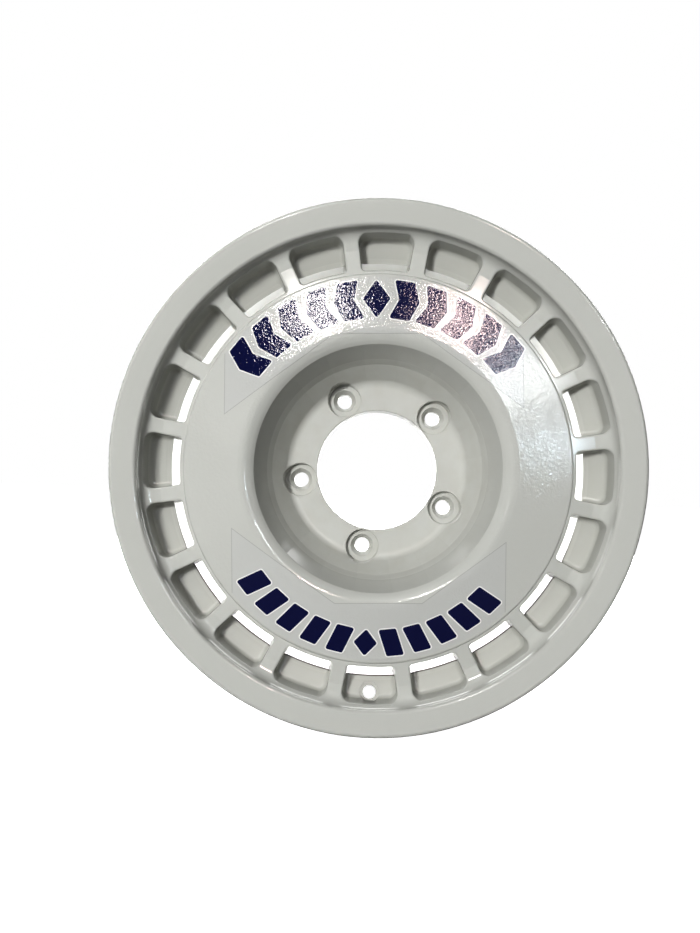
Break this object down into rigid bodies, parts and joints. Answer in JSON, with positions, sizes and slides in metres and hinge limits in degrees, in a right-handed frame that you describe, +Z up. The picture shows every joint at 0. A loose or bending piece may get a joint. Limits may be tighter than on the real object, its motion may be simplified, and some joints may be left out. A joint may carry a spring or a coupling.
{
  "type": "wheel rim",
  "caption": "One-piece forged racing wheel rim with a dished hub recess, a ring of vent windows round the face, a flat lip and a drop-centre barrel, with film and vinyl graphics.",
  "frame": {"origin": "on the axle line, halfway between the two outer faces of the rim flanges", "axes": "+Z up; the wheel turns about Y; its outer face looks along -Y and the hub side along +Y; the valve window is at the bottom, towards -Z"},
  "size_m": [0.44, 0.1988, 0.44],
  "materials": {
    "wheel_paint": "gloss off-white paint over forged aluminium",
    "clear_film": "clear gloss with orange peel",
    "white_vinyl": "gloss",
    "navy_vinyl": "gloss"
  },
  "bodies": {
    "root": {"wheel_forging": "wheel_paint", "upper_film": "clear_film", "lower_film": "clear_film", "upper_backing_01": "white_vinyl", "upper_backing_02": "white_vinyl", "upper_backing_03": "white_vinyl", "upper_backing_04": "white_vinyl", "upper_backing_05": "white_vinyl", "upper_backing_06": "white_vinyl", "upper_backing_07": "white_vinyl", "upper_backing_08": "white_vinyl", "upper_backing_09": "white_vinyl", "upper_backing_10": "white_vinyl", "upper_backing_11": "white_vinyl", "lower_backing_01": "white_vinyl", "lower_backing_02": "white_vinyl", "lower_backing_03": "white_vinyl", "lower_backing_04": "white_vinyl", "lower_backing_05": "white_vinyl", "lower_backing_06": "white_vinyl", "lower_backing_07": "white_vinyl", "lower_backing_08": "white_vinyl", "lower_backing_09": "white_vinyl", "lower_backing_10": "white_vinyl", "lower_backing_11": "white_vinyl", "upper_figure_01": "navy_vinyl", "upper_figure_02": "navy_vinyl", "upper_figure_03": "navy_vinyl", "upper_figure_04": "navy_vinyl", "upper_figure_05": "navy_vinyl", "upper_figure_06": "navy_vinyl", "upper_figure_07": "navy_vinyl", "upper_figure_08": "navy_vinyl", "upper_figure_09": "navy_vinyl", "upper_figure_10": "navy_vinyl", "upper_figure_11": "navy_vinyl", "lower_figure_01": "navy_vinyl", "lower_figure_02": "navy_vinyl", "lower_figure_03": "navy_vinyl", "lower_figure_04": "navy_vinyl", "lower_figure_05": "navy_vinyl", "lower_figure_06": "navy_vinyl", "lower_figure_07": "navy_vinyl", "lower_figure_08": "navy_vinyl", "lower_figure_09": "navy_vinyl", "lower_figure_10": "navy_vinyl", "lower_figure_11": "navy_vinyl"}
  },
  "joints": []
}
